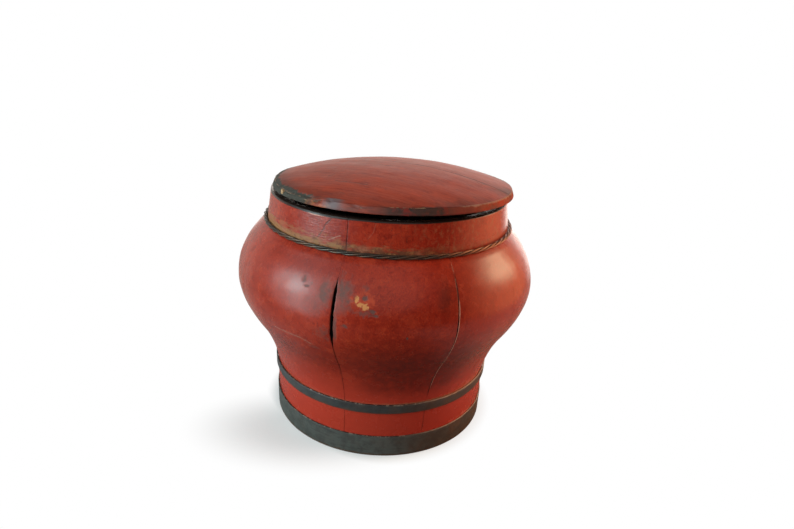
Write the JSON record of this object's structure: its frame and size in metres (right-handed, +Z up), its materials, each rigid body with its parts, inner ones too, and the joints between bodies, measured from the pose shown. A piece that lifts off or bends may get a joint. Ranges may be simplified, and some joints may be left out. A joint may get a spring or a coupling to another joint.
{
  "type": "rice bucket",
  "caption": "Coopered wooden bucket with a swelling belly, short collar, twisted wire neck hoop, iron strips and a loose domed lid, for storing rice.",
  "frame": {"origin": "centre of the foot's underside, on the axis of the bucket", "axes": "+Z up along the bucket's axis, -Y to the side seen in the picture, +X to that side's right"},
  "size_m": [0.3799, 0.3802, 0.3366],
  "materials": {
    "lacquered_staves": "worn gloss lacquer",
    "lacquered_lid": "worn gloss lacquer",
    "floor_wood": "bare",
    "batten_wood": "bare",
    "bamboo": "bare",
    "hoop_wire": "worn, twisted wire",
    "hoop_iron": "worn, rusty"
  },
  "bodies": {
    "bucket": {"stave_01": "lacquered_staves", "stave_02": "lacquered_staves", "stave_03": "lacquered_staves", "stave_04": "lacquered_staves", "stave_05": "lacquered_staves", "stave_06": "lacquered_staves", "stave_07": "lacquered_staves", "stave_08": "lacquered_staves", "stave_09": "lacquered_staves", "stave_pin_01a": "bamboo", "stave_pin_01b": "bamboo", "stave_pin_02a": "bamboo", "stave_pin_02b": "bamboo", "stave_pin_03a": "bamboo", "stave_pin_03b": "bamboo", "stave_pin_04a": "bamboo", "stave_pin_04b": "bamboo", "stave_pin_05a": "bamboo", "stave_pin_05b": "bamboo", "stave_pin_06a": "bamboo", "stave_pin_06b": "bamboo", "stave_pin_07a": "bamboo", "stave_pin_07b": "bamboo", "stave_pin_08a": "bamboo", "stave_pin_08b": "bamboo", "stave_pin_09a": "bamboo", "stave_pin_09b": "bamboo", "floor_board_1": "floor_wood", "floor_board_2": "floor_wood", "floor_board_3": "floor_wood", "floor_pin_1": "bamboo", "floor_pin_2": "bamboo", "floor_pin_3": "bamboo", "floor_pin_4": "bamboo", "neck_strand_1": "hoop_wire", "neck_strand_2": "hoop_wire", "neck_strand_3": "hoop_wire", "waist_hoop": "hoop_iron", "waist_hoop_rivet_1": "hoop_iron", "waist_hoop_rivet_2": "hoop_iron", "foot_band": "hoop_iron", "foot_band_rivet_1": "hoop_iron", "foot_band_rivet_2": "hoop_iron"},
    "lid": {"lid_board_front": "lacquered_lid", "lid_board_back": "lacquered_lid", "lid_pin_1": "bamboo", "lid_pin_2": "bamboo", "lid_pin_3": "bamboo", "lid_batten_left": "batten_wood", "lid_batten_right": "batten_wood", "lid_peg_1": "bamboo", "lid_peg_2": "bamboo", "lid_peg_3": "bamboo", "lid_peg_4": "bamboo", "lid_peg_5": "bamboo", "lid_peg_6": "bamboo", "lid_peg_7": "bamboo", "lid_peg_8": "bamboo"}
  },
  "joints": [
    {"name": "lid_lift", "type": "slide", "parent": "bucket", "child": "lid", "axis": [0, 0, 1], "range_m": [0, 0.16]}
  ]
}
